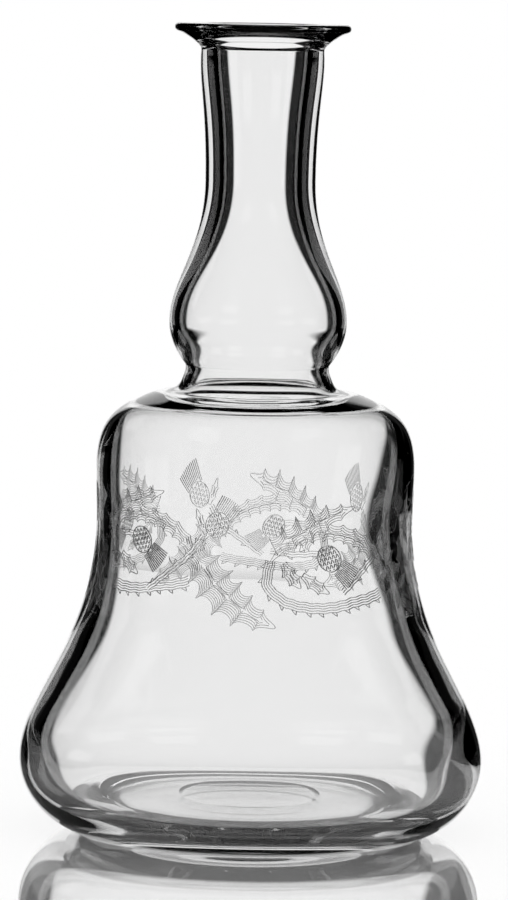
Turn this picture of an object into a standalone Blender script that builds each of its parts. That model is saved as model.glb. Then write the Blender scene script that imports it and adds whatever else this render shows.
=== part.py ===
"""A bell-shaped decanter of clear blown glass, open at the mouth, in metres with +Z up.

The origin is on the table, under the middle of the bell. The glass is three gathers that the
maker joined hot: the bell with its pushed-up base, the bulbed neck that stands on it, and the
flat lip that is laid round the sheared end of the neck. Each is a turned wall of uneven
thickness, so its outer and its inner side have curves of their own.
"""

import math

import bpy

# Heights, stacked from the table up
heel_height = 0.0225  # table to the widest circle of the bell
flare_length = 0.0750  # widest circle up to the slim waist of the bell
shoulder_rise = 0.0155  # waist up to the widest circle of the shoulder
shoulder_depth = 0.0276  # shoulder's widest circle up to the foot of the neck
root_length = 0.0044  # foot of the neck up to the crease under the bulb
bulb_under_length = 0.0133  # crease up to the widest circle of the bulb
bulb_over_length = 0.0433  # widest circle of the bulb up to the throat
throat_length = 0.0402  # throat up to the sheared end of the neck
lip_height = 0.0082  # sheared end of the neck up to the top of the lip

# Outer diameters
ring_outer_diameter = 0.1030  # ground ring that the bell stands on
ring_inner_diameter = 0.0940
bell_diameter = 0.1436
waist_diameter = 0.0975
shoulder_diameter = 0.0985
foot_diameter = 0.0462  # where the neck meets the bell
root_diameter = 0.0446  # crease under the bulb
bulb_diameter = 0.0549
throat_diameter = 0.0340
neck_end_diameter = 0.0379
lip_diameter = 0.0544

# Walls
heel_wall = 0.0062
waist_wall = 0.0043
shoulder_wall = 0.0043
foot_wall = 0.0031
root_wall = 0.0031
bulb_wall = 0.0032
throat_wall = 0.0056
neck_end_wall = 0.0050
lip_thickness = 0.0026
lip_seam_step = 0.0005  # the lip's bore stands back from the neck's by this much
foot_seam_step = 0.0003  # and the bell's from the foot of the neck

# Pushed-up base
punt_height = 0.0016  # table to the rim of the ground dish
dish_diameter = 0.0448  # round hollow that is ground and polished where the pontil broke off
dish_depth = 0.0010
dish_thickness = 0.0050  # glass between the middle of the dish and the inside
floor_diameter = 0.0920  # inside, where the nearly flat floor ends and the heel's hollow starts
floor_fall = 0.0006  # the floor's edge lies this much under its middle

# Mouth
mouth_diameter = 0.0300  # opening inside the rounded edge of the flat top
mouth_edge_radius = 0.0030

# Where the outline passes between two of the sizes above, as shares of the way in radius and in
# height from the lower circle to the upper one, with the outline's slope there in degrees
flare_way_shares = (0.516, 0.413)
flare_slope = 62.0
flank_way_shares = (0.637, 0.826)
flank_slope = 22.7
ceiling_way_shares = (0.585, 0.720)  # inside, under the flank, where the glass is thinner
ceiling_slope = 12.0
thick_way_shares = (0.630, 0.413)  # inside, the flare's glass is thickest here
thick_slope = 63.0
heel_hollow_share = 0.03  # the inside is widest this much of the way from the heel to the waist

# How far each curve keeps its first and its last direction, as shares of its chord
even_shares = (0.38, 0.38)
heel_shares = (0.44, 0.27)
lower_flare_shares = (0.42, 0.27)
upper_flare_shares = (0.39, 0.29)
waist_shares = (0.35, 0.35)
shoulder_shares = (0.38, 0.555)
flank_shares = (0.50, 0.50)
ceiling_shares = (0.45, 0.60)
bulb_under_shares = (0.396, 0.288)
bulb_over_shares = (0.474, 0.292)
throat_shares = (0.246, 0.571)
corner_shares = (0.42, 0.42)
punt_shares = (0.06, 0.80)
lip_under_shares = (0.40, 0.15)
mouth_flare_shares = (0.45, 0.30)

# Directions of the outline in degrees: 0 is outward, -90 is straight down
straight_down = -90.0
bulb_crease_heading = -128.0
root_heading = -104.0
root_bore_heading = -97.0
foot_heading = -70.0
foot_bore_heading = -72.0
neck_end_heading = -86.0
lip_cone_heading = -160.0
punt_heading = 145.0

turn_steps = 52
merge_distance = 0.00002

glass_colour = (0.93, 0.94, 0.94, 1.0)
glass_roughness = 0.02
glass_ior = 1.52

# Levels worked out from the stacked heights
waist_level = heel_height + flare_length
shoulder_level = waist_level + shoulder_rise
foot_level = shoulder_level + shoulder_depth
root_level = foot_level + root_length
bulb_level = root_level + bulb_under_length
throat_level = bulb_level + bulb_over_length
neck_end_level = throat_level + throat_length
top_level = neck_end_level + lip_height


def between(lower, upper, share):
    """The value that lies this share of the way from lower to upper."""
    return lower + (upper - lower) * share


def flow(start, heading_out, end, heading_in, shares, count):
    """Points of a smooth curve from start up to, but without, end. A point is (radius, height)."""
    chord = math.dist(start, end)
    out = math.radians(heading_out)
    into = math.radians(heading_in)
    first = (
        start[0] + shares[0] * chord * math.cos(out),
        start[1] + shares[0] * chord * math.sin(out),
    )
    last = (
        end[0] - shares[1] * chord * math.cos(into),
        end[1] - shares[1] * chord * math.sin(into),
    )
    points = []
    for step in range(count):
        t = step / count
        weights = ((1 - t) ** 3, 3 * (1 - t) ** 2 * t, 3 * (1 - t) * t**2, t**3)
        points.append(
            tuple(
                sum(w * p[axis] for w, p in zip(weights, (start, first, last, end)))
                for axis in (0, 1)
            )
        )
    return points


def arc(centre, radius, start_angle, end_angle, count):
    """Points on a circle from one angle to the other, both in degrees and both included."""
    points = []
    for step in range(count + 1):
        angle = math.radians(between(start_angle, end_angle, step / count))
        points.append(
            (
                centre[0] + radius * math.cos(angle),
                centre[1] + radius * math.sin(angle),
            )
        )
    return points


def sagged(edge_radius, edge_level, middle_level, count):
    """Points of a shallow dish or dome from its edge to the axis, along a circle."""
    rise = middle_level - edge_level
    radius = (edge_radius**2 + rise**2) / (2 * rise)
    points = []
    for step in range(count):
        out = edge_radius * (1 - step / count)
        reach = math.copysign(math.sqrt(radius**2 - out**2), radius)
        points.append((out, middle_level - radius + reach))
    points.append((0.0, middle_level))
    return points


def bell_outer_side():
    """The bell's outer side, from the foot of the neck down to the ring that it stands on."""
    foot = (foot_diameter / 2, foot_level)
    shoulder = (shoulder_diameter / 2, shoulder_level)
    waist = (waist_diameter / 2, waist_level)
    heel = (bell_diameter / 2, heel_height)
    ring = (ring_outer_diameter / 2, 0.0)
    flank = (
        between(shoulder[0], foot[0], flank_way_shares[0]),
        between(shoulder[1], foot[1], flank_way_shares[1]),
    )
    flare = (
        between(heel[0], waist[0], flare_way_shares[0]),
        between(heel[1], waist[1], flare_way_shares[1]),
    )
    return [
        *flow(foot, foot_heading, flank, -flank_slope, flank_shares, 5),
        *flow(flank, -flank_slope, shoulder, straight_down, shoulder_shares, 7),
        *flow(shoulder, straight_down, waist, straight_down, waist_shares, 3),
        *flow(waist, straight_down, flare, -flare_slope, upper_flare_shares, 5),
        *flow(flare, -flare_slope, heel, straight_down, lower_flare_shares, 5),
        *flow(heel, straight_down, ring, -180.0, heel_shares, 8),
        ring,
    ]


def bell_underside():
    """The pushed-up base and its ground dish, from the inner edge of the ring to the axis."""
    ring = (ring_inner_diameter / 2, 0.0)
    rim = (dish_diameter / 2, punt_height)
    return [
        *flow(ring, punt_heading, rim, 180.0, punt_shares, 4),
        *sagged(rim[0], rim[1], punt_height + dish_depth, 4),
    ]


def bell_inner_side():
    """The bell's inside, from the middle of its floor up to the foot of the neck."""
    middle_level = punt_height + dish_depth + dish_thickness
    foot = (foot_diameter / 2 - foot_wall + foot_seam_step, foot_level)
    shoulder = (shoulder_diameter / 2 - shoulder_wall, shoulder_level)
    waist = (waist_diameter / 2 - waist_wall, waist_level)
    heel = (bell_diameter / 2 - heel_wall, between(heel_height, waist_level, heel_hollow_share))
    floor_edge = (floor_diameter / 2, middle_level - floor_fall)
    ceiling = (
        between(shoulder[0], foot[0], ceiling_way_shares[0]),
        between(shoulder[1], foot[1], ceiling_way_shares[1]),
    )
    flare = (
        between(heel[0], waist[0], thick_way_shares[0]),
        between(heel[1], waist[1], thick_way_shares[1]),
    )
    down = [
        *flow(foot, foot_bore_heading, ceiling, -ceiling_slope, ceiling_shares, 5),
        *flow(ceiling, -ceiling_slope, shoulder, straight_down, flank_shares, 6),
        *flow(shoulder, straight_down, waist, straight_down, waist_shares, 2),
        *flow(waist, straight_down, flare, -thick_slope, upper_flare_shares, 4),
        *flow(flare, -thick_slope, heel, straight_down, lower_flare_shares, 5),
        *flow(heel, straight_down, floor_edge, 180.0, corner_shares, 7),
        *sagged(floor_edge[0], floor_edge[1], middle_level, 4),
    ]
    return down[::-1]


def neck_outer_side():
    """The neck's outer side, from its sheared end down over the bulb to its foot."""
    end = (neck_end_diameter / 2, neck_end_level)
    throat = (throat_diameter / 2, throat_level)
    bulb = (bulb_diameter / 2, bulb_level)
    root = (root_diameter / 2, root_level)
    foot = (foot_diameter / 2, foot_level)
    return [
        *flow(end, neck_end_heading, throat, straight_down, throat_shares, 4),
        *flow(throat, straight_down, bulb, straight_down, bulb_over_shares, 9),
        *flow(bulb, straight_down, root, bulb_crease_heading, bulb_under_shares, 6),
        *flow(root, root_heading, foot, foot_heading, even_shares, 3),
        foot,
    ]


def neck_inner_side():
    """The neck's bore, from its foot up to its sheared end."""
    end = (neck_end_diameter / 2 - neck_end_wall, neck_end_level)
    throat = (throat_diameter / 2 - throat_wall, throat_level)
    bulb = (bulb_diameter / 2 - bulb_wall, bulb_level)
    root = (root_diameter / 2 - root_wall, root_level)
    foot = (foot_diameter / 2 - foot_wall, foot_level)
    down = [
        *flow(end, straight_down, throat, straight_down, throat_shares, 4),
        *flow(throat, straight_down, bulb, straight_down, bulb_over_shares, 8),
        *flow(bulb, straight_down, root, root_bore_heading, bulb_under_shares, 5),
        *flow(root, root_bore_heading, foot, foot_bore_heading, even_shares, 3),
        foot,
    ]
    return down[::-1]


def lip_outline():
    """The lip's whole section: flat top, round rim, hollow underside, seam and flared mouth."""
    rim_radius = lip_thickness / 2
    rim_centre = (lip_diameter / 2 - rim_radius, top_level - rim_radius)
    cone_start = arc(rim_centre, rim_radius, 90.0, lip_cone_heading + 90.0, 6)
    seam = (neck_end_diameter / 2, neck_end_level)
    bore = (neck_end_diameter / 2 - neck_end_wall + lip_seam_step, neck_end_level)
    edge_centre = (mouth_diameter / 2 + mouth_edge_radius, top_level - mouth_edge_radius)
    edge = arc(edge_centre, mouth_edge_radius, 180.0, 90.0, 3)
    under = flow(
        cone_start[-1], lip_cone_heading, seam, neck_end_heading, lip_under_shares, 6
    )
    flare = flow(bore, 90.0, edge[0], 90.0, mouth_flare_shares, 4)
    return [*cone_start, *under[1:], seam, *flare, *edge]


def turned_object(name, outline, closed_loop, material, collection):
    """A solid turned from an outline round the upright axis by a Screw modifier."""
    edges = [(i, i + 1) for i in range(len(outline) - 1)]
    if closed_loop:
        edges.append((len(outline) - 1, 0))
    mesh = bpy.data.meshes.new(name)
    mesh.from_pydata([(radius, 0.0, height) for radius, height in outline], edges, [])
    turned = bpy.data.objects.new(name, mesh)
    collection.objects.link(turned)
    screw = turned.modifiers.new("turn", "SCREW")
    screw.axis = "Z"
    screw.angle = math.tau
    screw.steps = turn_steps
    screw.render_steps = turn_steps
    screw.use_merge_vertices = True
    screw.merge_threshold = merge_distance
    screw.use_smooth_shade = True
    mesh.materials.append(material)
    return turned


def clear_glass(name):
    """Clear glass with a faint grey cast."""
    material = bpy.data.materials.new(name)
    material.use_nodes = True
    shader = material.node_tree.nodes["Principled BSDF"]
    shader.inputs["Base Color"].default_value = glass_colour
    shader.inputs["Roughness"].default_value = glass_roughness
    shader.inputs["Metallic"].default_value = 0.0
    shader.inputs["IOR"].default_value = glass_ior
    shader.inputs["Transmission Weight"].default_value = 1.0
    return material


def make_bell_body(collection):
    """The bell, with its shoulder, its heel, the ring that it stands on and its pushed-up base."""
    inner = bell_inner_side()
    # The outline ends where it began, on the face that carries the neck
    outline = [*bell_outer_side(), *bell_underside(), *inner]
    # The two points on the axis aren't joined, so the loop is cut there
    cut = len(outline) - len(inner)
    outline = outline[cut:] + outline[:cut]
    return turned_object("bell_body", outline, False, clear_glass("bell_glass"), collection)


def make_neck(collection):
    """The bulbed neck, which stands on the bell."""
    outline = [*neck_outer_side(), *neck_inner_side()]
    return turned_object("neck", outline, True, clear_glass("neck_glass"), collection)


def make_lip(collection):
    """The flat lip, laid hot round the end of the neck."""
    return turned_object("lip", lip_outline(), True, clear_glass("lip_glass"), collection)


def clear_scene():
    """Removes what the scene starts with."""
    for old in list(bpy.data.objects):
        bpy.data.objects.remove(old, do_unlink=True)


def main():
    """Builds the decanter."""
    clear_scene()
    decanter = bpy.data.collections.new("decanter")
    bpy.context.scene.collection.children.link(decanter)
    make_bell_body(decanter)
    make_neck(decanter)
    make_lip(decanter)


main()
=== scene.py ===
"""Dresses the bell-shaped decanter: clear blown glass with an etched band of thistles."""

import logging
import math
from collections.abc import Iterable
from dataclasses import dataclass, field
from enum import Enum

import bpy
import numpy as np
from mathutils import Matrix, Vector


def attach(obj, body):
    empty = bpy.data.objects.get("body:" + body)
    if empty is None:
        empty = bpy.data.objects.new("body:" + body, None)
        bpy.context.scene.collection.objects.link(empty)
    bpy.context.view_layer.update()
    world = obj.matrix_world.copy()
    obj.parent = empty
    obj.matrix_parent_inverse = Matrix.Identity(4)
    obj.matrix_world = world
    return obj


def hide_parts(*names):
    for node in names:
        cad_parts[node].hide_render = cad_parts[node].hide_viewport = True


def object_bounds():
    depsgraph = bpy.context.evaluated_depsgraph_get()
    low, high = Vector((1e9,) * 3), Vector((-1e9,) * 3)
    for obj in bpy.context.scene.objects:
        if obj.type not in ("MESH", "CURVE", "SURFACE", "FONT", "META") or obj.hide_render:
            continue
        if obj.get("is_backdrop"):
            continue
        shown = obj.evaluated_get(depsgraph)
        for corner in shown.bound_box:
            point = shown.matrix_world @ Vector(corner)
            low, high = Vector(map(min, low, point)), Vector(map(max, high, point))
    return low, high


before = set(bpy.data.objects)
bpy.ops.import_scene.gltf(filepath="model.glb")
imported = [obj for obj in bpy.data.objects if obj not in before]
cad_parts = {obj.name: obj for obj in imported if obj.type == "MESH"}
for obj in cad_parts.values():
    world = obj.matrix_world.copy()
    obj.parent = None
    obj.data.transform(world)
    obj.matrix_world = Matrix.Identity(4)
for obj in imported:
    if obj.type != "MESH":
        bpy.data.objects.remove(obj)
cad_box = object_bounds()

Point = tuple[float, float]
Line = list[Point]

LOG = logging.getLogger("decanter")
MM = 0.001
DOWN = -90.0
INWARD = -180.0


class Turn(Enum):
    """On which side of a stem a thorn stands, as a sign on its sideways direction."""

    LEFT = 1.0
    RIGHT = -1.0


class Seen(Enum):
    """By which light a bright field of the studio is seen."""

    ALWAYS = "always"
    STRAIGHT = "straight through glass"
    BY_TABLE = "mirrored by the table"
    IMAGE = "through the mirror image of a hollow vessel"
    THROUGH_BASE = "through the base, mirrored by the table and through the base again"


class Wire:
    """A shader or geometry socket that takes part in sums, so that maths reads as maths."""

    def __init__(self, sheet: "Sheet", socket: bpy.types.NodeSocket) -> None:
        """Holds a socket.

        Args:
            sheet: The node sheet that the socket is on.
            socket: An output socket.
        """
        self.sheet = sheet
        self.socket = socket

    def _maths(self, operation: str, *values: "Wire | float") -> "Wire":
        """One Math node.

        Args:
            operation: The node's operation.
            values: What goes into its sockets, in order.

        Returns:
            The node's result.
        """
        return self.sheet.node(
            "ShaderNodeMath", {"operation": operation}, dict(enumerate(values))
        )

    def __add__(self, other: "Wire | float") -> "Wire":
        """The sum."""
        return self._maths("ADD", self, other)

    def __radd__(self, other: float) -> "Wire":
        """The sum, with the number first."""
        return self._maths("ADD", other, self)

    def __sub__(self, other: "Wire | float") -> "Wire":
        """The difference."""
        return self._maths("SUBTRACT", self, other)

    def __rsub__(self, other: float) -> "Wire":
        """The difference, with the number first."""
        return self._maths("SUBTRACT", other, self)

    def __mul__(self, other: "Wire | float") -> "Wire":
        """The product."""
        return self._maths("MULTIPLY", self, other)

    def __rmul__(self, other: float) -> "Wire":
        """The product, with the number first."""
        return self._maths("MULTIPLY", other, self)

    def __truediv__(self, other: "Wire | float") -> "Wire":
        """The quotient."""
        return self._maths("DIVIDE", self, other)

    def __rtruediv__(self, other: float) -> "Wire":
        """The quotient, with the number first."""
        return self._maths("DIVIDE", other, self)

    def __gt__(self, other: "Wire | float") -> "Wire":
        """1 where this is the greater, 0 elsewhere."""
        return self._maths("GREATER_THAN", self, other)

    def __lt__(self, other: "Wire | float") -> "Wire":
        """1 where this is the smaller, 0 elsewhere."""
        return self._maths("LESS_THAN", self, other)

    def __abs__(self) -> "Wire":
        """The size without its sign."""
        return self._maths("ABSOLUTE", self)

    def highest(self, other: "Wire | float") -> "Wire":
        """The greater of the two."""
        return self._maths("MAXIMUM", self, other)

    def degrees(self, function: str, *others: "Wire | float") -> "Wire":
        """An arc function's angle in degrees."""
        return self._maths(function, self, *others) * math.degrees(1.0)

    def fade(self, start: float, end: float) -> "Wire":
        """A soft step from 1 down to 0.

        Args:
            start: Where the step begins.
            end: Where it has reached 0.

        Returns:
            The step.
        """
        return self.sheet.node(
            "ShaderNodeMapRange",
            {"interpolation_type": "SMOOTHSTEP"},
            {"Value": self, "From Min": start, "From Max": end, "To Min": 1.0, "To Max": 0.0},
        )

    def siblings(self) -> dict[str, "Wire"]:
        """All outputs of the same node, by name."""
        return {socket.name: Wire(self.sheet, socket) for socket in self.socket.node.outputs}


class Sheet:
    """A node tree that is filled by one method."""

    def __init__(self, tree: bpy.types.NodeTree) -> None:
        """Takes over a tree and empties it.

        Args:
            tree: The tree.
        """
        self.tree = tree
        tree.nodes.clear()

    def node(
        self,
        kind: str,
        settings: dict[str, object] | None = None,
        values: dict[str | int, object] | None = None,
        output: str | int = 0,
    ) -> Wire:
        """Adds one node.

        Args:
            kind: The node's type.
            settings: Its settings, which are made before its sockets are filled.
            values: A value, or the wire that leads in, for each socket named or numbered.
            output: The output socket that the result stands for.

        Returns:
            That output, or the first input of a closing node, which has no output.
        """
        made = self.tree.nodes.new(kind)
        for name, setting in (settings or {}).items():
            setattr(made, name, setting)
        for key, value in (values or {}).items():
            socket = made.inputs[key]
            if isinstance(value, Wire):
                self.tree.links.new(value.socket, socket)
            else:
                socket.default_value = value
        outputs = made.outputs
        return Wire(self, outputs[output]) if len(outputs) else Wire(self, made.inputs[0])


class Workshop:
    """Turns plain outlines and lines into meshes by Geometry Nodes."""

    @staticmethod
    def tree(name: str, inputs: dict[str, tuple[str, object]]) -> Sheet:
        """A geometry tree with named inputs.

        Args:
            name: The tree's name.
            inputs: The socket type and the default value of each input.

        Returns:
            The empty sheet, with an input and an output node still to come.
        """
        tree = bpy.data.node_groups.new(name, "GeometryNodeTree")
        tree.interface.new_socket("Geometry", in_out="INPUT", socket_type="NodeSocketGeometry")
        tree.interface.new_socket("Geometry", in_out="OUTPUT", socket_type="NodeSocketGeometry")
        for title, (kind, value) in inputs.items():
            socket = tree.interface.new_socket(title, in_out="INPUT", socket_type=kind)
            if value is not None:
                socket.default_value = value
        return Sheet(tree)

    @staticmethod
    def made(
        name: str, mesh: bpy.types.Mesh, sheet: Sheet, values: dict[str, object]
    ) -> bpy.types.Object:
        """Runs a tree on a mesh and keeps the result as a plain mesh.

        Args:
            name: The piece's name.
            mesh: What goes into the tree.
            sheet: The tree's sheet.
            values: Values for its named inputs.

        Returns:
            The finished piece, at the origin.
        """
        carrier = bpy.data.objects.new(name + "_lines", mesh)
        bpy.context.scene.collection.objects.link(carrier)
        modifier = carrier.modifiers.new("build", "NODES")
        modifier.node_group = sheet.tree
        by_name = {
            item.name: item.identifier
            for item in sheet.tree.interface.items_tree
            if item.in_out == "INPUT"
        }
        for title, value in values.items():
            modifier[by_name[title]] = value
        graph = bpy.context.evaluated_depsgraph_get()
        graph.update()
        plain = bpy.data.meshes.new_from_object(carrier.evaluated_get(graph), depsgraph=graph)
        bpy.data.objects.remove(carrier, do_unlink=True)
        plain.name = name
        piece = bpy.data.objects.new(name, plain)
        bpy.context.scene.collection.objects.link(piece)
        return piece


@dataclass(frozen=True)
class BlownGlass:
    """Clear blown glass with the faint waves of a mouth-blown wall."""

    tint: tuple[float, float, float, float] = (0.985, 0.985, 0.985, 1.0)
    ior: float = 1.52
    wave_size: float = 55.0
    wave_depth: float = 0.00004
    wave_strength: float = 0.25

    def material(self, name: str) -> bpy.types.Material:
        """Builds the finish.

        Args:
            name: The material's name.

        Returns:
            The material.
        """
        made = bpy.data.materials.new(name)
        made.use_nodes = True
        sheet = Sheet(made.node_tree)
        place = sheet.node("ShaderNodeTexCoord", output="Object")
        waves = sheet.node(
            "ShaderNodeTexNoise",
            values={"Vector": place, "Scale": self.wave_size, "Detail": 1.0},
        )
        bump = sheet.node(
            "ShaderNodeBump",
            values={
                "Strength": self.wave_strength,
                "Distance": self.wave_depth,
                "Height": waves,
            },
        )
        shader = sheet.node(
            "ShaderNodeBsdfPrincipled",
            values={
                "Base Color": self.tint,
                "Roughness": 0.0,
                "IOR": self.ior,
                "Transmission Weight": 1.0,
                "Normal": bump,
            },
        )
        sheet.node("ShaderNodeOutputMaterial", values={"Surface": shader})
        return made


@dataclass(frozen=True)
class EtchedLine:
    """One face of a needle-etched line, with the grain that the etching leaves; the copies for the
    shaded and the lit faces carry painted shade and painted light in their tints.
    """

    # low and high bound the tint: dark on the shaded face as painted shade, pale on the lit face as
    # painted light
    low: float
    high: float
    matt: float = 0.0
    clear: float = 0.97
    roughness: float = 0.03
    ior: float = 1.52
    grain_size: float = 900.0

    def glass(self, sheet: Sheet, colour: Wire | tuple[float, ...]) -> Wire:
        """Glass of one colour.

        Args:
            sheet: The material's sheet.
            colour: Its colour.

        Returns:
            The shader.
        """
        return sheet.node(
            "ShaderNodeBsdfPrincipled",
            values={
                "Base Color": colour,
                "Roughness": self.roughness,
                "IOR": self.ior,
                "Transmission Weight": 1.0,
            },
        )

    def material(self, name: str) -> bpy.types.Material:
        """Builds the finish; from behind, where light leaves the line, the face is clear.

        Args:
            name: The material's name.

        Returns:
            The material.
        """
        made = bpy.data.materials.new(name)
        made.use_nodes = True
        sheet = Sheet(made.node_tree)
        place = sheet.node("ShaderNodeTexCoord", output="Object")
        grain = sheet.node(
            "ShaderNodeTexNoise",
            values={"Vector": place, "Scale": self.grain_size, "Detail": 1.0},
        )
        # sockets 0, 6 and 7 are the factor and the two colours, and output 2 is the mixed colour
        colour = sheet.node(
            "ShaderNodeMix",
            {"data_type": "RGBA"},
            {0: grain, 6: (self.low,) * 3 + (1.0,), 7: (self.high,) * 3 + (1.0,)},
            output=2,
        )
        front = self.glass(sheet, colour)
        if self.matt:
            frost = sheet.node("ShaderNodeBsdfDiffuse", values={"Color": colour})
            front = sheet.node("ShaderNodeMixShader", values={0: self.matt, 1: front, 2: frost})
        behind = sheet.node("ShaderNodeNewGeometry", output="Backfacing")
        clear = self.glass(sheet, (self.clear,) * 3 + (1.0,))
        both = sheet.node("ShaderNodeMixShader", values={0: behind, 1: front, 2: clear})
        sheet.node("ShaderNodeOutputMaterial", values={"Surface": both})
        return made


@dataclass(frozen=True)
class Swelling:
    """A place on the right-hand side where the blown wall is thicker inside."""

    level: float
    half_height: float
    depth: float

    def at(self, height: float) -> float:
        """How much thicker the wall is at a height.

        Args:
            height: Height above the table.

        Returns:
            The extra thickness.
        """
        share = min(1.0, abs(height - self.level) / self.half_height)
        return self.depth * (1 - share**2) ** 2


@dataclass
class Decanter:
    """The glass itself: one seamless wall turned round the upright axis, in metres."""

    heel_height: float = 0.0225
    flare_length: float = 0.0750
    shoulder_rise: float = 0.0155
    shoulder_depth: float = 0.0276
    root_length: float = 0.0044
    bulb_under_length: float = 0.0133
    bulb_over_length: float = 0.0433
    throat_length: float = 0.0402
    lip_height: float = 0.0082
    ring_outer: float = 0.0515
    ring_inner: float = 0.0470
    bell: float = 0.0718
    waist: float = 0.04875
    shoulder: float = 0.04925
    foot: float = 0.0231
    root: float = 0.0223
    bulb: float = 0.02745
    throat: float = 0.0170
    neck_end: float = 0.01895
    lip: float = 0.0272
    heel_wall: float = 0.0062
    waist_wall: float = 0.0043
    shoulder_wall: float = 0.0043
    foot_wall: float = 0.0031
    root_wall: float = 0.0031
    bulb_wall: float = 0.0032
    throat_wall: float = 0.0056
    neck_end_wall: float = 0.0050
    lip_thickness: float = 0.0026
    punt_height: float = 0.0016
    dish: float = 0.0224
    dish_depth: float = 0.0005
    dish_thickness: float = 0.0055
    dish_edge: float = 0.0003
    dish_step: float = 0.00008
    floor: float = 0.0460
    floor_fall: float = 0.0006
    mouth: float = 0.0150
    mouth_edge: float = 0.0030
    flare_way: Point = (0.516, 0.413)
    flare_slope: float = 62.0
    flank_way: Point = (0.637, 0.826)
    flank_slope: float = 22.7
    ceiling_way: Point = (0.585, 0.720)
    ceiling_slope: float = 12.0
    thick_way: Point = (0.630, 0.413)
    thick_slope: float = 63.0
    heel_hollow: float = 0.03
    foot_heading: float = -70.0
    inner_foot_heading: float = -72.0
    root_headings: Point = (-128.0, -104.0)
    inner_root_headings: Point = (-97.0, -97.0)
    seam_heading: float = -86.0
    punt_heading: float = 145.0
    cone_heading: float = -160.0
    flank_over: Point = (0.50, 0.50)
    flank_under: Point = (0.38, 0.555)
    slim_part: Point = (0.35, 0.35)
    flare_over: Point = (0.39, 0.29)
    flare_under: Point = (0.42, 0.27)
    heel_under: Point = (0.44, 0.27)
    punt_under: Point = (0.06, 0.80)
    ceiling_over: Point = (0.45, 0.60)
    ceiling_under: Point = (0.50, 0.50)
    heel_corner: Point = (0.42, 0.42)
    throat_over: Point = (0.246, 0.571)
    bulb_over: Point = (0.474, 0.292)
    bulb_under: Point = (0.396, 0.288)
    root_under: Point = (0.38, 0.38)
    lip_under: Point = (0.40, 0.15)
    mouth_under: Point = (0.30, 0.45)
    swellings: tuple[Swelling, ...] = (
        Swelling(0.0960, 0.0300, 0.0014),
        Swelling(0.0240, 0.0160, 0.0013),
    )
    fineness: int = 3
    turn_steps: int = 192

    def __post_init__(self) -> None:
        """Works out the levels from the stacked heights."""
        self.waist_level = self.heel_height + self.flare_length
        self.shoulder_level = self.waist_level + self.shoulder_rise
        self.foot_level = self.shoulder_level + self.shoulder_depth
        self.root_level = self.foot_level + self.root_length
        self.bulb_level = self.root_level + self.bulb_under_length
        self.throat_level = self.bulb_level + self.bulb_over_length
        self.neck_end_level = self.throat_level + self.throat_length
        self.top_level = self.neck_end_level + self.lip_height
        self._outside = np.array(self.bell_outer_side()[::-1])

    @staticmethod
    def way(lower: Point, upper: Point, shares: Point) -> Point:
        """A point that lies these shares of the way from lower to upper."""
        return (
            lower[0] + (upper[0] - lower[0]) * shares[0],
            lower[1] + (upper[1] - lower[1]) * shares[1],
        )

    def flow(
        self, start: Point, out: float, end: Point, into: float, shares: Point, count: int
    ) -> Line:
        """Points of a smooth curve from start up to, but without, end.

        Args:
            start: Where the curve starts, as radius and height.
            out: Its direction there in degrees; 0 is outward.
            end: Where it ends.
            into: Its direction there.
            shares: How far it keeps the two directions, as shares of its chord.
            count: Number of steps before fineness.

        Returns:
            The points.
        """
        chord = math.dist(start, end)
        first = (
            start[0] + shares[0] * chord * math.cos(math.radians(out)),
            start[1] + shares[0] * chord * math.sin(math.radians(out)),
        )
        last = (
            end[0] - shares[1] * chord * math.cos(math.radians(into)),
            end[1] - shares[1] * chord * math.sin(math.radians(into)),
        )
        t = np.arange(count * self.fineness) / (count * self.fineness)
        rest = 1 - t
        weights = np.stack([rest**3, 3 * rest**2 * t, 3 * rest * t**2, t**3], axis=1)
        return [tuple(p) for p in weights @ np.array([start, first, last, end])]

    def arc(self, centre: Point, radius: float, start: float, end: float, count: int) -> Line:
        """Points on a circle between two angles in degrees, both included.

        Args:
            centre: The circle's centre.
            radius: Its radius.
            start: First angle.
            end: Last angle.
            count: Number of steps before fineness.

        Returns:
            The points.
        """
        angles = np.radians(np.linspace(start, end, count * self.fineness + 1))
        return [
            (centre[0] + radius * math.cos(a), centre[1] + radius * math.sin(a)) for a in angles
        ]

    def sagged(self, edge: float, edge_level: float, middle_level: float, count: int) -> Line:
        """Points of a shallow dish or dome from its edge to the axis.

        Args:
            edge: Radius of the edge.
            edge_level: Height of the edge.
            middle_level: Height at the axis.
            count: Number of steps before fineness.

        Returns:
            The points.
        """
        rise = middle_level - edge_level
        radius = (edge**2 + rise**2) / (2 * rise)
        steps = count * self.fineness
        outs = [edge * (1 - step / steps) for step in range(steps)]
        line = [
            (out, middle_level - radius + math.copysign(math.sqrt(radius**2 - out**2), radius))
            for out in outs
        ]
        return [*line, (0.0, middle_level)]

    def bell_outer_side(self) -> Line:
        """The bell's outer side, from the foot of the neck down to the ring it stands on.

        Returns:
            The points.
        """
        foot = (self.foot, self.foot_level)
        shoulder = (self.shoulder, self.shoulder_level)
        waist = (self.waist, self.waist_level)
        heel = (self.bell, self.heel_height)
        ring = (self.ring_outer, 0.0)
        flank = self.way(shoulder, foot, self.flank_way)
        flare = self.way(heel, waist, self.flare_way)
        return [
            *self.flow(foot, self.foot_heading, flank, -self.flank_slope, self.flank_over, 5),
            *self.flow(flank, -self.flank_slope, shoulder, DOWN, self.flank_under, 7),
            *self.flow(shoulder, DOWN, waist, DOWN, self.slim_part, 3),
            *self.flow(waist, DOWN, flare, -self.flare_slope, self.flare_over, 5),
            *self.flow(flare, -self.flare_slope, heel, DOWN, self.flare_under, 6),
            *self.flow(heel, DOWN, ring, INWARD, self.heel_under, 9),
            ring,
        ]

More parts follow.
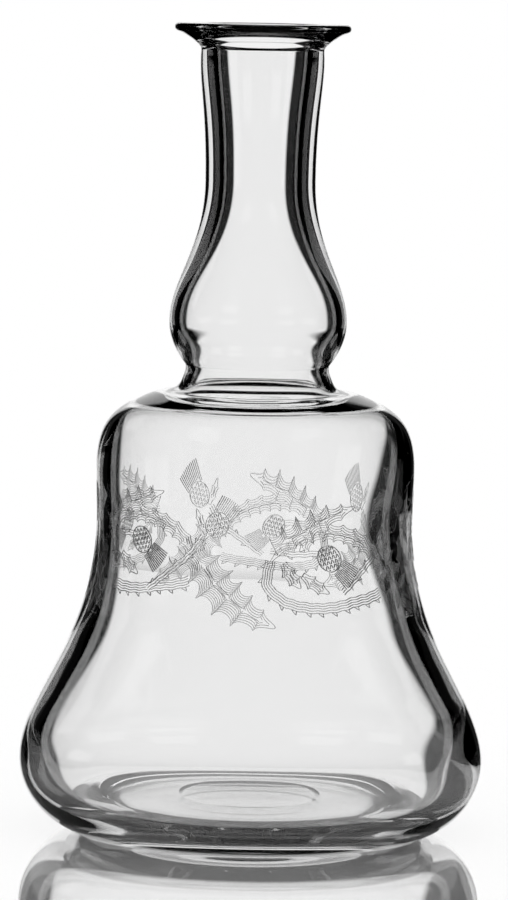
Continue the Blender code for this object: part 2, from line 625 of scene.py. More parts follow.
    def bell_underside(self) -> Line:
        """The pushed-up base and its ground dish, from the inner edge of the ring to the axis.

        Returns:
            The points.
        """
        ring = (self.ring_inner, 0.0)
        rim = (self.dish, self.punt_height)
        edge, edge_level = self.dish - self.dish_edge, self.punt_height + self.dish_step
        return [
            *self.flow(ring, self.punt_heading, rim, -INWARD, self.punt_under, 6),
            (self.dish + self.dish_edge, self.punt_height),
            rim,
            *self.sagged(edge, edge_level, self.punt_height + self.dish_depth, 4),
        ]

    def bell_inner_side(self) -> Line:
        """The bell's inside, from the foot of the neck down to the middle of its floor.

        Returns:
            The points.
        """
        middle_level = self.punt_height + self.dish_depth + self.dish_thickness
        foot = (self.foot - self.foot_wall, self.foot_level)
        shoulder = (self.shoulder - self.shoulder_wall, self.shoulder_level)
        waist = (self.waist - self.waist_wall, self.waist_level)
        heel_level = self.heel_height + (self.waist_level - self.heel_height) * self.heel_hollow
        heel = (self.bell - self.heel_wall, heel_level)
        floor_edge = (self.floor, middle_level - self.floor_fall)
        ceiling = self.way(shoulder, foot, self.ceiling_way)
        flare = self.way(heel, waist, self.thick_way)
        fall = -self.ceiling_slope
        return [
            *self.flow(foot, self.inner_foot_heading, ceiling, fall, self.ceiling_over, 6),
            *self.flow(ceiling, fall, shoulder, DOWN, self.ceiling_under, 6),
            *self.flow(shoulder, DOWN, waist, DOWN, self.slim_part, 3),
            *self.flow(waist, DOWN, flare, -self.thick_slope, self.flare_over, 5),
            *self.flow(flare, -self.thick_slope, heel, DOWN, self.flare_under, 6),
            *self.flow(heel, DOWN, floor_edge, INWARD, self.heel_corner, 9),
            *self.sagged(floor_edge[0], floor_edge[1], middle_level, 5),
        ]

    def neck_side(self, inner: bool) -> Line:
        """One side of the neck, from its sheared end down to its foot.

        Args:
            inner: True for the bore, which stands in by the thickness of the wall.

        Returns:
            The points, without the last.
        """
        take = 1.0 if inner else 0.0
        end = (self.neck_end - take * self.neck_end_wall, self.neck_end_level)
        throat = (self.throat - take * self.throat_wall, self.throat_level)
        bulb = (self.bulb - take * self.bulb_wall, self.bulb_level)
        root = (self.root - take * self.root_wall, self.root_level)
        foot = (self.foot - take * self.foot_wall, self.foot_level)
        out = DOWN if inner else self.seam_heading
        root_in, root_out = self.inner_root_headings if inner else self.root_headings
        into = self.inner_foot_heading if inner else self.foot_heading
        return [
            *self.flow(end, out, throat, DOWN, self.throat_over, 4),
            *self.flow(throat, DOWN, bulb, DOWN, self.bulb_over, 9),
            *self.flow(bulb, DOWN, root, root_in, self.bulb_under, 6),
            *self.flow(root, root_out, foot, into, self.root_under, 3),
        ]

    def outline(self) -> Line:
        """The whole section, from the floor inside, over the lip, down and under to the axis.

        Returns:
            The points.
        """
        rim_radius = self.lip_thickness / 2
        rim_centre = (self.lip - rim_radius, self.top_level - rim_radius)
        cone = self.cone_heading
        rim = self.arc(rim_centre, rim_radius, 90.0, cone + 90.0, 5)
        seam = (self.neck_end, self.neck_end_level)
        under = self.flow(rim[-1], cone, seam, self.seam_heading, self.lip_under, 5)[1:]
        bore = (self.neck_end - self.neck_end_wall, self.neck_end_level)
        edge_centre = (self.mouth + self.mouth_edge, self.top_level - self.mouth_edge)
        edge = self.arc(edge_centre, self.mouth_edge, 90.0, 180.0, 4)
        flare = self.flow(edge[-1], DOWN, bore, DOWN, self.mouth_under, 4)[1:]
        outside = [*rim, *under, *self.neck_side(False), *self.bell_outer_side()]
        inside = [*edge, *flare, *self.neck_side(True), *self.bell_inner_side()]
        return [*inside[::-1], *outside, *self.bell_underside()]

    def outside_at(self, height: float) -> tuple[float, float]:
        """Radius and slope of the bell's outer side at a height.

        Args:
            height: Height above the table.

        Returns:
            The radius, and the slope as radius gained per height.
        """
        radii, levels = self._outside[:, 0], self._outside[:, 1]
        step = 0.5 * MM
        low, middle, high = np.interp([height - step, height, height + step], levels, radii)
        return float(middle), float((high - low) / (2 * step))

    def profile(self) -> bpy.types.Mesh:
        """The section as a line of edges, whose points store how much thicker the wall is there.

        Returns:
            The mesh.
        """
        points = self.outline()
        mesh = bpy.data.meshes.new("decanter_outline")
        mesh.from_pydata(
            [(r, 0.0, z) for r, z in points], [(i, i + 1) for i in range(len(points) - 1)], []
        )
        inner = len(self.bell_inner_side())
        extra = [
            sum(swelling.at(height) for swelling in self.swellings) if number < inner else 0.0
            for number, (_, height) in enumerate(points)
        ]
        stored = mesh.attributes.new("thicker", "FLOAT", "POINT")
        stored.data.foreach_set("value", extra)
        return mesh

    @staticmethod
    def turning_tree() -> Sheet:
        """The tree that turns a section round the upright axis into one closed wall.

        Returns:
            The tree's sheet.
        """
        sheet = Workshop.tree(
            "turned_wall",
            {
                "Turn steps": ("NodeSocketInt", 64),
                "Weld distance": ("NodeSocketFloat", 0.000001),
                "Finish": ("NodeSocketMaterial", None),
            },
        )
        node = sheet.node
        inputs = node("NodeGroupInput").siblings()
        steps, profile = inputs["Turn steps"], inputs["Geometry"]
        count = node(
            "GeometryNodeAttributeDomainSize", {"component": "MESH"}, {"Geometry": profile}
        )
        around = node("FunctionNodeIntegerMath", {"operation": "ADD"}, {0: steps, 1: 1})
        grid = node("GeometryNodeMeshGrid", values={"Vertices X": count, "Vertices Y": around})
        index = node("GeometryNodeInputIndex")
        ring = node("FunctionNodeIntegerMath", {"operation": "DIVIDE_FLOOR"}, {0: index, 1: around})
        step = node("FunctionNodeIntegerMath", {"operation": "MODULO"}, {0: index, 1: around})
        place = node(
            "GeometryNodeSampleIndex",
            {"data_type": "FLOAT_VECTOR", "domain": "POINT"},
            {"Geometry": profile, "Value": node("GeometryNodeInputPosition"), "Index": ring},
        )
        angle = step / steps * math.tau
        thicker = node(
            "GeometryNodeSampleIndex",
            {"data_type": "FLOAT", "domain": "POINT"},
            {
                "Geometry": profile,
                "Value": node("GeometryNodeInputNamedAttribute", values={"Name": "thicker"}),
                "Index": ring,
            },
        )
        facing = node("ShaderNodeMath", {"operation": "COSINE"}, {0: angle}).highest(0.0)
        inward = node("ShaderNodeCombineXYZ", values={"X": thicker * facing * facing * -1.0})
        swollen = node("ShaderNodeVectorMath", {"operation": "ADD"}, {0: place, 1: inward})
        turned = node(
            "ShaderNodeVectorRotate",
            {"rotation_type": "Z_AXIS"},
            {"Vector": swollen, "Center": (0.0, 0.0, 0.0), "Angle": angle},
        )
        wall = node("GeometryNodeSetPosition", values={"Geometry": grid, "Position": turned})
        wall = node(
            "GeometryNodeMergeByDistance",
            values={"Geometry": wall, "Distance": inputs["Weld distance"]},
        )
        wall = node("GeometryNodeSetShadeSmooth", values={"Geometry": wall, "Shade Smooth": True})
        wall = node("GeometryNodeRealizeInstances", values={"Geometry": wall})
        wall = node(
            "GeometryNodeSetMaterial", values={"Geometry": wall, "Material": inputs["Finish"]}
        )
        node("NodeGroupOutput", values={"Geometry": wall})
        return sheet

    def build(self, finish: BlownGlass) -> bpy.types.Object:
        """Turns the section into the glass.

        Args:
            finish: The glass.

        Returns:
            The piece.
        """
        values = {"Turn steps": self.turn_steps, "Finish": finish.material("blown_glass")}
        piece = Workshop.made("decanter_wall", self.profile(), self.turning_tree(), values)
        LOG.info("decanter wall: %d faces", len(piece.data.polygons))
        return piece


def inside(polygon: np.ndarray, points: np.ndarray) -> np.ndarray:
    """Which points lie in a closed polygon.

    Args:
        polygon: Its corners, one a row.
        points: The points, one a row.

    Returns:
        True for each point inside.
    """
    ahead = np.roll(polygon, -1, axis=0)
    px, py = points[:, 0:1], points[:, 1:2]
    x0, y0, x1, y1 = polygon[:, 0], polygon[:, 1], ahead[:, 0], ahead[:, 1]
    spans = (y0 > py) != (y1 > py)
    run = np.where(y1 == y0, 1.0, y1 - y0)
    crossings = spans & (px < x0 + (py - y0) * (x1 - x0) / run)
    return crossings.sum(axis=1) % 2 == 1


@dataclass
class Drawing:
    """Line work on the flat band: millimetres along the glass and millimetres up from the table.

    A form that is drawn first lies in front, and hides the lines of the later ones.
    """

    lines: list[tuple[np.ndarray, float]] = field(default_factory=list)
    forms: list[np.ndarray] = field(default_factory=list)

    def stroke(
        self, points: np.ndarray, within: np.ndarray | None = None, weight: float = 1.0
    ) -> None:
        """Adds a line, cut where a form in front covers it.

        Args:
            points: The line's points, closely spaced.
            within: A polygon that the line keeps to, if any.
            weight: How bold it is, as a share of the common line width.
        """
        shown = np.ones(len(points), bool)
        for form in self.forms:
            shown &= ~inside(form, points)
        if within is not None:
            shown &= inside(within, points)
        ends = np.flatnonzero(np.diff(np.concatenate([[0], shown.astype(int), [0]])))
        for start, stop in zip(ends[::2], ends[1::2]):
            if stop - start > 1:
                self.lines.append((points[start:stop], weight))

    def cover(self, polygon: np.ndarray) -> None:
        """Puts a form in front of what is drawn from now on."""
        self.forms.append(polygon)


def spaced(points: np.ndarray, step: float) -> np.ndarray:
    """A line's points at even steps.

    Args:
        points: Any points along it.
        step: The distance between the new ones.

    Returns:
        The new points.
    """
    lengths = np.concatenate([[0.0], np.cumsum(np.hypot(*np.diff(points, axis=0).T))])
    count = max(2, int(round(lengths[-1] / step)) + 1)
    at = np.linspace(0.0, lengths[-1], count)
    return np.stack([np.interp(at, lengths, points[:, axis]) for axis in (0, 1)], axis=1)


@dataclass(frozen=True)
class Spine:
    """A smooth line that a leaf or a stem grows along."""

    points: tuple[Point, ...]
    span_steps: int = 24
    coarse: int = 50

    def at(self, count: int) -> tuple[np.ndarray, np.ndarray]:
        """Points along the line, and the direction to its left at each.

        Args:
            count: Number of points.

        Returns:
            Both, one row a point.
        """
        knots = np.array(self.points, float)
        padded = np.vstack([2 * knots[0] - knots[1], knots, 2 * knots[-1] - knots[-2]])
        line = []
        for a, b, c, d in zip(padded, padded[1:], padded[2:], padded[3:]):
            t = np.linspace(0, 1, self.span_steps, endpoint=False)[:, None]
            square = (2 * a - 5 * b + 4 * c - d) * t**2
            cube = (3 * b - a - 3 * c + d) * t**3
            line.append(0.5 * (2 * b + (c - a) * t + square + cube))
        line = np.vstack([*line, knots[-1:]])
        lengths = np.concatenate([[0.0], np.cumsum(np.hypot(*np.diff(line, axis=0).T))])
        at = np.linspace(0, lengths[-1], count)
        line = np.stack([np.interp(at, lengths, line[:, axis]) for axis in (0, 1)], axis=1)
        ahead = np.gradient(line, axis=0)
        ahead /= np.hypot(*ahead.T)[:, None]
        return line, np.stack([-ahead[:, 1], ahead[:, 0]], axis=1)

    def length(self) -> float:
        """The line's length, in millimetres."""
        line, _ = self.at(self.coarse)
        return float(np.hypot(*np.diff(line, axis=0).T).sum())


@dataclass(frozen=True)
class Leaf:
    """A thistle leaf: a scalloped outline with sharp tips, filled with lines that follow it."""

    spine: Spine
    left: float
    right: float
    teeth_left: int
    teeth_right: int
    root: float = 0.10
    tooth: float = 0.42
    lean: float = 1.1
    pitch: float = 0.84
    calm: float = 0.06
    weight: float = 1.0
    fullness: float = 0.75
    sharpness: int = 6
    tooth_steps: int = 14
    step: float = 0.45
    narrowest: float = 0.15

    def edge(self, t: np.ndarray, teeth: int, depth: float) -> tuple[np.ndarray, np.ndarray]:
        """How far a line stands from the spine, and how much it leans ahead.

        Args:
            t: Shares of the way along the spine.
            teeth: Number of tips on that side.
            depth: Depth of the scallops between the tips, as a share of the width.

        Returns:
            The reach as a share of the width, and the lean in millimetres.
        """
        body = np.sin(np.pi * (self.root + (1 - self.root) * t)) ** self.fullness
        across = 2 * ((t * teeth) % 1.0) - 1
        scallop = np.sqrt(np.clip(1 - across**2, 0, 1))
        return body * (1 - depth * scallop), self.lean * depth * across**self.sharpness * body

    def draw(self, drawing: Drawing) -> None:
        """Adds the leaf's outline and its hatching.

        Args:
            drawing: Where the lines go.
        """
        count = self.tooth_steps * max(self.teeth_left, self.teeth_right) + 1
        line, side = self.spine.at(count)
        ahead = np.stack([side[:, 1], -side[:, 0]], axis=1)
        t = np.linspace(0, 1, count)
        hands = ((self.left, self.teeth_left), (-self.right, self.teeth_right))
        edges = []
        for width, teeth in hands:
            reach, lean = self.edge(t, teeth, self.tooth)
            edges.append(line + side * (width * reach)[:, None] + ahead * lean[:, None])
        polygon = np.vstack([edges[0], edges[1][::-1]])
        closed = np.vstack([polygon, polygon[:1]])
        drawing.stroke(spaced(closed, self.step), weight=self.weight)
        for width, teeth in hands:
            for row in range(1, int(abs(width) / self.pitch) + 1):
                reach, lean = self.edge(t, teeth, self.tooth * (1 - self.calm * row))
                offset = abs(width) * reach - row * self.pitch
                points = line + side * (math.copysign(1, width) * offset)[:, None]
                wide = offset > self.narrowest * self.pitch
                points = (points + ahead * lean[:, None])[wide]
                if len(points) > 2:
                    drawing.stroke(points, polygon, self.weight)
        drawing.cover(polygon)


@dataclass(frozen=True)
class Stem:
    """A stem drawn as a few lines side by side, with thorns on one or on both sides."""

    spine: Spine
    width: float
    lines: int = 3
    thorns: int = 6
    thorn: float = 1.2
    wave: float = 0.12
    wave_length: float = 4.0
    sides: tuple[Turn, ...] = (Turn.LEFT, Turn.RIGHT)
    weight: float = 1.0
    step: float = 0.6
    fewest: int = 6
    thorn_place: float = 0.6
    thorn_lean: float = 0.6
    thorn_foot: Point = (0.9, 0.5)
    thorn_step: float = 0.4

    def draw(self, drawing: Drawing) -> None:
        """Adds the stem's lines and its thorns.

        Args:
            drawing: Where the lines go.
        """
        length = self.spine.length()
        fine = max(self.fewest, int(length / self.step))
        line, side = self.spine.at(fine)
        ahead = np.stack([side[:, 1], -side[:, 0]], axis=1)
        ripple = self.wave * np.sin(np.linspace(0, length, fine) * math.tau / self.wave_length)
        for row in range(self.lines):
            offset = self.width * (row / (self.lines - 1) - 0.5) + ripple
            drawing.stroke(line + side * offset[:, None], weight=self.weight)
        for number in range(self.thorns):
            at = int((number + self.thorn_place) / self.thorns * (fine - 1))
            turn = self.sides[number % len(self.sides)]
            out = side[at] * turn.value
            edge = line[at] + out * (self.width / 2 + ripple[at] * turn.value)
            tip = edge + out * self.thorn + ahead[at] * self.thorn_lean
            back, front = self.thorn_foot
            corners = np.array([edge - ahead[at] * back, tip, edge + ahead[at] * front])
            drawing.stroke(spaced(corners, self.thorn_step), weight=self.weight)
        half = self.width / 2
        drawing.cover(np.vstack([line + side * half, (line - side * half)[::-1]]))


@dataclass(frozen=True)
class Flower:
    """A thistle head: an oval cup of scales with a tuft that fans out of it."""

    cup: Point
    heading: float
    half_length: float = 4.3
    half_width: float = 3.7
    tuft_length: float = 6.6
    tuft_foot: float = 2.5
    tuft_spread: float = 3.8
    strands: int = 12
    row_pitch: float = 1.35
    scale_pitch: float = 1.40
    scale_size: Point = (0.95, 1.30)
    lay: float = 103.0
    weight: float = 1.35
    rows: int = 3
    row_scales: int = 4
    oval_steps: int = 48
    scale_steps: int = 4
    scale_fall: float = 0.96
    tuft_root: float = 0.72
    tuft_round: float = 0.5
    step: float = 0.4
    strand_step: float = 1.2

    def draw(self, drawing: Drawing) -> None:
        """Adds the cup, its scales and the tuft.

        Args:
            drawing: Where the lines go.
        """
        angle = math.radians(self.heading)
        ahead = np.array([math.cos(angle), math.sin(angle)])
        side = np.array([-ahead[1], ahead[0]])
        cup = np.array(self.cup)
        turn = np.linspace(0, math.tau, self.oval_steps + 1)
        oval = (
            cup
            + np.outer(np.cos(turn) * self.half_length, ahead)
            + np.outer(np.sin(turn) * self.half_width, side)
        )
        drawing.stroke(spaced(oval, self.step), weight=self.weight)
        lay = math.radians(self.lay)
        up = np.array([math.cos(lay), math.sin(lay)])
        across = np.array([math.sin(lay), -math.cos(lay)])
        bend = np.linspace(-1, 1, self.scale_steps + 1)
        arch = np.sqrt(1 - bend**2 * self.scale_fall)
        wide, high = self.scale_size
        for row in range(-self.rows, self.rows + 1):
            for number in range(-self.row_scales, self.row_scales + 1):
                middle = (number + 0.5 * (row % 2)) * self.scale_pitch
                level = row * self.row_pitch
                arc = (
                    cup
                    + np.outer(level + (arch - 0.5) * high, up)
                    + np.outer(middle + bend * wide / 2, across)
                )
                drawing.stroke(arc, oval, self.weight)
        base = self.half_length * self.tuft_root
        tip = self.half_length + self.tuft_length
        strands = []
        for number in range(self.strands):
            share = number / (self.strands - 1) * 2 - 1
            low = cup + ahead * base + side * share * self.tuft_foot
            reach = tip - self.tuft_round * share**2
            high = cup + ahead * reach + side * share * self.tuft_spread
            strands.append((low, high))
        fan = np.array([strands[0][0], strands[0][1], strands[-1][1], strands[-1][0]])
        drawing.cover(oval)
        for low, high in strands:
            strand = spaced(np.array([low, high]), self.strand_step)
            drawing.stroke(strand, weight=self.weight)
        drawing.cover(fan)


@dataclass
class ThistleBand:
    """The etched band: thistles, leaves and a spiny garland, five times round the bell."""

    first_knot: float = -0.396
    repeats: int = 5
    flat_radius: float = 50.0
    line_width: float = 0.00025
    line_height: float = 0.00005
    lift: float = 0.000005
    droop: float = 4.0
    # direction of the painted light on the bars: faces turned towards it get the pale lit tint, the
    # others the dark painted-shade tint
    lit_from: Point = (0.6, 0.8)
    inner_facing: float = -0.5

    def unit(self, droop: float) -> Drawing:
        """One repeat, with the knot of its stems at zero along the glass.

        Args:
            droop: How much lower the hanging flower and the garland lie, in millimetres.

        Returns:
            The drawing.
        """
        drawing = Drawing()

        def low(*points: Point) -> Spine:
            """A spine whose points all lie lower by the droop."""
            return Spine(tuple((along, height - droop) for along, height in points))

        forms = (
            Flower((-18.8, 93.9 - droop), -39.0, weight=1.75),
            Flower((8.2, 100.0), 56.0, 4.0, 3.6, 4.9, 3.1, 3.6, weight=1.15),
            Leaf(Spine(((4.6, 96.9), (2.9, 100.6), (1.5, 104.6))), 1.4, 1.6, 3, 3),
            Stem(
                Spine(((-14.6, 79.5), (-6.5, 85.8), (-1.0, 90.4), (3.8, 96.4))),
                1.7, 3, 5, 0.9, weight=1.4,
            ),
            Leaf(
                Spine(((0.6, 91.2), (5.5, 85.8), (10.5, 79.8), (17.5, 74.3), (26.3, 69.6))),
                6.9, 7.6, 6, 6, root=0.24,
            ),
            Leaf(
                low((-37.2, 97.2), (-28.5, 101.8), (-20.5, 105.6), (-9.8, 109.2)),
                5.4, 4.2, 6, 5, root=0.18, tooth=0.48, weight=1.05,
            ),
            Leaf(
                low((0.0, 91.0), (-3.5, 96.0), (-9.5, 99.6), (-18.0, 101.6), (-26.0, 100.8),
                    (-33.5, 97.6), (-38.5, 92.5)),
                2.9, 3.3, 11, 10, root=0.22, tooth=0.38, weight=1.10,
            ),
            Stem(
                low((-38.0, 93.5), (-39.0, 86.5), (-36.1, 83.0), (-32.0, 80.6), (-24.7, 79.2),
                    (-17.0, 79.4), (-10.4, 80.6), (-5.2, 81.3), (-0.3, 82.6)),
                2.9, 5, 12, sides=(Turn.RIGHT,), weight=1.25,
            ),
            Leaf(low((-34.0, 92.8), (-31.5, 88.8), (-28.6, 85.2)), 2.8, 2.8, 3, 3, weight=1.25),
            Leaf(low((-28.0, 89.2), (-24.0, 86.2), (-19.4, 83.4)), 2.4, 2.6, 3, 3, weight=1.25),
            Stem(low((-38.0, 96.4), (-30.5, 95.4), (-22.0, 95.6)), 1.5, 3, 4, 0.8),
        )
        for form in forms:
            form.draw(drawing)
        return drawing

    def flat_mesh(self, name: str, drawing: Drawing, glass: Decanter) -> bpy.types.Mesh:
        """Lays a drawing round the bell's outer side.

        Args:
            name: The mesh's name.
            drawing: The flat drawing.
            glass: The decanter that it lies on.

        Returns:
            A mesh of edges; its points store the direction out of the glass and the line's weight.
        """
        places, edges, outward, weights = [], [], [], []
        for line, weight in drawing.lines:
            start = len(places)
            for along, height in line:
                angle = self.first_knot + along / self.flat_radius
                radius, slope = glass.outside_at(height * MM)
                steep = math.hypot(1.0, slope)
                east, north = math.sin(angle), -math.cos(angle)
                out = (east / steep, north / steep, -slope / steep)
                spot = (east * radius, north * radius, height * MM)
                places.append(tuple(p + self.lift * o for p, o in zip(spot, out)))
                outward.append(out)
            edges += [(i, i + 1) for i in range(start, len(places) - 1)]
            weights += [weight] * len(line)
        mesh = bpy.data.meshes.new(name)
        mesh.from_pydata(places, edges, [])
        stored = mesh.attributes.new("outward", "FLOAT_VECTOR", "POINT")
        stored.data.foreach_set("vector", np.array(outward, np.float32).ravel())
        stored = mesh.attributes.new("weight", "FLOAT", "POINT")
        stored.data.foreach_set("value", weights)
        return mesh

    def bar_tree(self) -> Sheet:
        """The tree that turns lines into fine three-sided bars, with painted light and painted
        shade on their two slopes, and repeats them round the bell.

        Returns:
            The tree's sheet.
        """
        sheet = Workshop.tree(
            "etched_bars",
            {
                "Line width": ("NodeSocketFloat", 0.0002),
                "Line height": ("NodeSocketFloat", 0.00004),
                "Weld distance": ("NodeSocketFloat", 0.0000005),
                "Repeats": ("NodeSocketInt", 1),
                "First angle": ("NodeSocketFloat", 0.0),
                "Step angle": ("NodeSocketFloat", 0.0),
                "Shaded face": ("NodeSocketMaterial", None),
                "Lit face": ("NodeSocketMaterial", None),
                "Inner face": ("NodeSocketMaterial", None),
            },
        )
        node = sheet.node
        inputs = node("NodeGroupInput").siblings()
        curves = node("GeometryNodeMeshToCurve", values={"Mesh": inputs["Geometry"]})
        out = node(
            "GeometryNodeInputNamedAttribute", {"data_type": "FLOAT_VECTOR"}, {"Name": "outward"}
        )
        curves = node(
            "GeometryNodeSetCurveNormal", {"mode": "FREE"}, {"Curve": curves, "Normal": out}
        )
        weight = node("GeometryNodeInputNamedAttribute", {"data_type": "FLOAT"}, {"Name": "weight"})
        half = inputs["Line width"] / 2.0
        left = node("ShaderNodeCombineXYZ", values={"Y": half})
        ridge = node("ShaderNodeCombineXYZ", values={"X": inputs["Line height"]})
        right = node("ShaderNodeCombineXYZ", values={"Y": half * -1.0})
        section = node(
            "GeometryNodeCurvePrimitiveQuadrilateral",
            {"mode": "POINTS"},
            {"Point 1": right, "Point 2": ridge, "Point 3": left, "Point 4": left},
        )
        bars = node(
            "GeometryNodeCurveToMesh",
            values={
                "Curve": curves,
                "Profile Curve": section,
                "Scale": weight,
                "Fill Caps": True,
            },
        )
        bars = node(
            "GeometryNodeMergeByDistance",
            values={"Geometry": bars, "Distance": inputs["Weld distance"]},
        )
        normal = node("GeometryNodeInputNormal")

        def along(direction: Wire) -> Wire:
            """How far a face looks along a direction, from -1 to 1."""
            return node(
                "ShaderNodeVectorMath", {"operation": "DOT_PRODUCT"}, {0: normal, 1: direction}, 1
            )

        leftward = node(
            "ShaderNodeVectorMath", {"operation": "CROSS_PRODUCT"}, {0: out, 1: (0.0, 0.0, 1.0)}
        )
        upward = node("ShaderNodeVectorMath", {"operation": "CROSS_PRODUCT"}, {0: leftward, 1: out})
        # faces turned towards lit_from are marked lit, for the painted-light tint; the other slopes
        # keep the painted-shade tint
        aside, above = self.lit_from
        marks = {
            "lit": along(leftward) * aside + along(upward) * above > 0.0,
            "inner": along(out) < self.inner_facing,
        }
        for mark, where in marks.items():
            bars = node(
                "GeometryNodeStoreNamedAttribute",
                {"data_type": "BOOLEAN", "domain": "FACE"},
                {"Geometry": bars, "Name": mark, "Value": where},
            )
        stations = node("GeometryNodePoints", values={"Count": inputs["Repeats"]})
        turn = inputs["First angle"] + node("GeometryNodeInputIndex") * inputs["Step angle"]
        spin = node("ShaderNodeCombineXYZ", values={"Z": turn})
        copies = node(
            "GeometryNodeInstanceOnPoints",
            values={"Points": stations, "Instance": bars, "Rotation": spin},
        )
        copies = node("GeometryNodeRealizeInstances", values={"Geometry": copies})
        copies = node(
            "GeometryNodeSetShadeSmooth", values={"Geometry": copies, "Shade Smooth": False}
        )
        # every face first takes the shaded face's painted shade, then the lit faces take the
        # painted light and the inner faces their own finish
        for name, mark in (("Shaded face", None), ("Lit face", "lit"), ("Inner face", "inner")):
            values = {"Geometry": copies, "Material": inputs[name]}
            if mark:
                values["Selection"] = node(
                    "GeometryNodeInputNamedAttribute", {"data_type": "BOOLEAN"}, {"Name": mark}
                )
            copies = node("GeometryNodeSetMaterial", values=values)
        node("NodeGroupOutput", values={"Geometry": copies})
        return sheet

    def build(self, glass: Decanter, faces: dict[str, EtchedLine]) -> list[bpy.types.Object]:
        """Etches the band in two sets of repeats that droop differently.

        Args:
            glass: The decanter.
            faces: The finish of each face of the lines.

        Returns:
            The pieces.
        """
        sheet = self.bar_tree()
        step = math.tau / self.repeats
        finishes = {
            name: finish.material("etched_" + name.split()[0].lower())
            for name, finish in faces.items()
        }
        sets = (("etched_band_high", 0.0, 0, 3), ("etched_band_low", self.droop, 1, 2))
        pieces = []
        for name, droop, first, count in sets:
            mesh = self.flat_mesh(name + "_flat", self.unit(droop), glass)
            values = {
                "Line width": self.line_width,
                "Line height": self.line_height,
                "Repeats": count,
                "First angle": first * step,
                "Step angle": 2 * step,
                **finishes,
            }
            piece = Workshop.made(name, mesh, sheet, values)
            LOG.info("%s: %d faces", name, len(piece.data.polygons))
            pieces.append(piece)
        return pieces


@dataclass(frozen=True)
class Table:
    """The glossy white table that the decanter stands on, a little less of a mirror near it."""

    half_width: float = 0.50
    near: float = 0.60
    far: float = 0.40
    drop: float = 0.0001
    polish: float = 0.02
    mirror_near: float = 0.86
    mirror_far: float = 0.98
    near_zone: tuple[float, float] = (0.13, 0.26)

    def build(self) -> bpy.types.Object:
        """Makes the table top.

        Returns:
            The floor.
        """
        corners = [
            (side * self.half_width, reach, -self.drop)
            for side, reach in ((-1, -self.near), (1, -self.near), (1, self.far), (-1, self.far))
        ]
        mesh = bpy.data.meshes.new("table_top")
        mesh.from_pydata(corners, [], [(0, 1, 2, 3)])
        top = bpy.data.objects.new("table_top", mesh)
        bpy.context.scene.collection.objects.link(top)
        material = bpy.data.materials.new("polished_white")
        material.use_nodes = True
        sheet = Sheet(material.node_tree)
        white = sheet.node("ShaderNodeBsdfDiffuse", values={"Color": (1.0, 1.0, 1.0, 1.0)})
        gloss = sheet.node(
            "ShaderNodeBsdfGlossy",
            values={"Color": (1.0, 1.0, 1.0, 1.0), "Roughness": self.polish},
        )
        place = sheet.node("ShaderNodeTexCoord", output="Object")
        reach = sheet.node("ShaderNodeVectorMath", {"operation": "LENGTH"}, {0: place}, output=1)
        close = reach.fade(*self.near_zone)
        share = self.mirror_far - close * (self.mirror_far - self.mirror_near)
        both = sheet.node("ShaderNodeMixShader", values={0: share, 1: white, 2: gloss})
        sheet.node("ShaderNodeOutputMaterial", values={"Surface": both})
        mesh.materials.append(material)
        return top


@dataclass(frozen=True)
class Window:
    """A bright field that glass shows, alike to the left and to the right; in degrees."""

    bearing: float
    half_width: float
    rise: float
    half_height: float
    level: float
    seen: Seen = Seen.ALWAYS
    soft: float = 1.5

    def shape(self, aside: Wire, rise: Wire) -> Wire:
        """How bright the field is in a direction.

        Args:
            aside: The direction's bearing without its sign.
            rise: The direction's angle above the table.

        Returns:
            The level there.
        """
        across = abs(aside - self.bearing).fade(
            self.half_width - self.soft, self.half_width + self.soft
        )
        upright = abs(rise - self.rise).fade(
            self.half_height - self.soft, self.half_height + self.soft
        )
        return across * upright * self.level


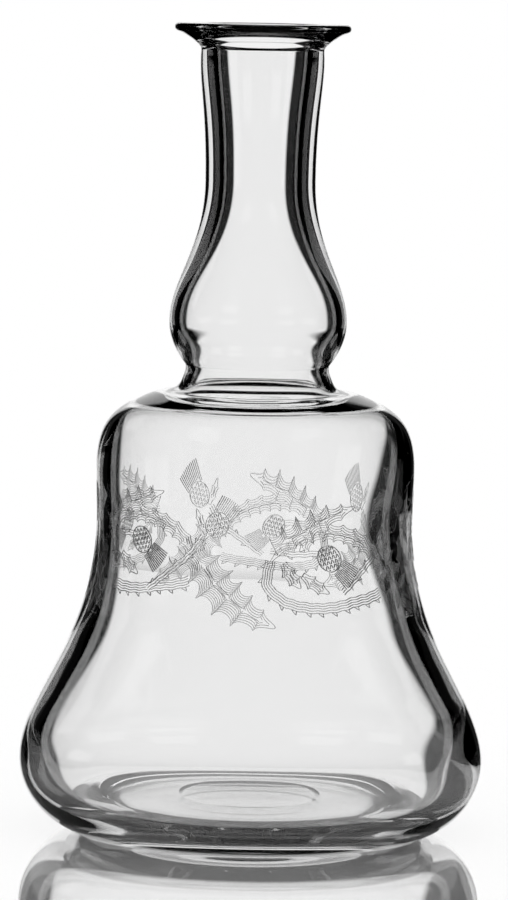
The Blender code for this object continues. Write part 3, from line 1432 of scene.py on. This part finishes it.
@dataclass(frozen=True)
class Studio:
    """A bright field behind the glass and dark sides, which draw its edges.

    Glass and the table's mirror show the windows, each only by the kind of light that it names.
    The windows stand at the bearings 0, 45, 90, 135 and 180, so the vessel looks clear along
    those; seen from between them it and the table look dark. The turn is the bearing of the
    field behind the vessel, and aside is how far the camera stands to the right of the middle.
    """

    distance: float = 1.700
    camera_height: float = 0.2735
    pitch: float = 5.211
    roll: float = 1.01
    aside: float = -0.00055
    focal_pixels: float = 5518.87
    frame_height: int = 900
    sensor: float = 36.0
    turn: float = 1.2
    floor_level: float = 1.03
    vessel_faces: int = 4
    base_faces: int = 7
    windows: tuple[Window, ...] = (
        Window(0.0, 14.0, 9.0, 21.0, 1.0),
        Window(0.0, 25.0, 9.0, 21.0, 0.02),
        Window(90.0, 14.0, 0.0, 12.0, 1.0, Seen.STRAIGHT),
        Window(180.0, 16.0, 0.0, 12.0, 1.0, Seen.STRAIGHT),
        Window(45.0, 14.0, 25.0, 12.0, 1.0, Seen.BY_TABLE),
        Window(135.0, 14.0, 15.0, 9.0, 1.0, Seen.BY_TABLE),
        Window(45.0, 14.0, -25.0, 10.0, 1.0, Seen.STRAIGHT),
        Window(135.0, 14.0, -15.0, 9.0, 1.0, Seen.STRAIGHT),
        Window(90.0, 14.0, 12.0, 18.0, 1.0, Seen.BY_TABLE),
        Window(90.0, 20.0, 8.0, 16.0, 1.0, Seen.THROUGH_BASE),
        Window(90.0, 14.0, 3.0, 9.0, 1.0, Seen.IMAGE),
        Window(45.0, 14.0, 25.0, 10.0, 1.0, Seen.IMAGE),
        Window(135.0, 14.0, 15.0, 9.0, 1.0, Seen.IMAGE),
        Window(45.0, 20.0, 25.0, 14.0, 1.0, Seen.THROUGH_BASE),
        Window(135.0, 20.0, 15.0, 12.0, 1.0, Seen.THROUGH_BASE),
    )

    def light(self) -> None:
        """Sets up the world: a plain level for matt surfaces, and the field that glass shows."""
        world = bpy.data.worlds.new("studio")
        bpy.context.scene.world = world
        world.use_nodes = True
        sheet = Sheet(world.node_tree)
        node = sheet.node
        way = node("ShaderNodeTexCoord", output="Generated")
        east, north, up = node("ShaderNodeSeparateXYZ", values={"Vector": way}).siblings().values()
        bearing = (east * -1.0).degrees("ARCTAN2", north)
        rise = up.degrees("ARCSINE")
        aside = abs(bearing - self.turn)
        paths = node("ShaderNodeLightPath").siblings()
        # depths are whole numbers, so each test of one stands halfway between two of them
        blurred = paths["Is Glossy Ray"] * (1.0 - paths["Is Singular Ray"])
        straight = paths["Glossy Depth"] < 0.5
        once = paths["Glossy Depth"] < 1.5
        crossed = paths["Transmission Depth"]
        vessel = (crossed > self.vessel_faces - 0.5) * (crossed < self.vessel_faces + 0.5)
        shown = {
            Seen.ALWAYS: 1.0,
            Seen.STRAIGHT: straight,
            Seen.BY_TABLE: blurred * once,
            Seen.IMAGE: (1.0 - straight) * vessel,
            Seen.THROUGH_BASE: (1.0 - straight) * (crossed > self.base_faces - 0.5),
        }
        level = paths["Is Camera Ray"].highest(paths["Diffuse Depth"] > 0.5)
        level = level.highest(blurred * (paths["Ray Depth"] < 1.5) * self.floor_level)
        for window in self.windows:
            level = level.highest(window.shape(aside, rise) * shown[window.seen])
        light = node(
            "ShaderNodeBackground", values={"Color": (1.0, 1.0, 1.0, 1.0), "Strength": level}
        )
        node("ShaderNodeOutputWorld", values={"Surface": light})

    def camera(self) -> None:
        """Puts the camera where the photograph was taken from."""
        data = bpy.data.cameras.new("camera")
        data.sensor_width = self.sensor
        data.lens = self.focal_pixels * self.sensor / self.frame_height
        data.clip_end = 100.0
        made = bpy.data.objects.new("camera", data)
        bpy.context.scene.collection.objects.link(made)
        tilt = Matrix.Rotation(math.radians(90.0 - self.pitch), 4, "X")
        roll = Matrix.Rotation(math.radians(self.roll), 4, "Z")
        place = Matrix.Translation((self.aside, -self.distance, self.camera_height))
        made.matrix_world = place @ tilt @ roll
        bpy.context.scene.camera = made


def main() -> None:
    """Builds the studio, the decanter and its etched band."""
    logging.basicConfig(level=logging.INFO, format="%(name)s: %(message)s")
    bpy.context.scene.view_settings.view_transform = "Standard"
    studio = Studio()
    studio.camera()
    studio.light()
    Table().build()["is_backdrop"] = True
    glass = Decanter()
    wall = glass.build(BlownGlass())
    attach(wall, "root")
    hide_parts("bell_body", "neck", "lip")
    band = ThistleBand()
    # the shaded face's dark tint is painted shade and the lit face's pale tint is painted light
    faces = {
        "Shaded face": EtchedLine(0.02, 0.16),
        "Lit face": EtchedLine(0.50, 0.80),
        "Inner face": EtchedLine(0.94, 1.00, matt=0.42),
    }
    for piece in band.build(glass, faces):
        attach(piece, "root")
        LOG.info("%s rides on the glass", piece.name)


def plain(box: Iterable[Iterable[float]]) -> list[list[float]]:
    """A box as plain lists of numbers."""
    return [[float(v) for v in corner] for corner in box]


if __name__ == "__main__":
    main()
    {"cad": plain(cad_box), "visual": plain(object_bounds())}
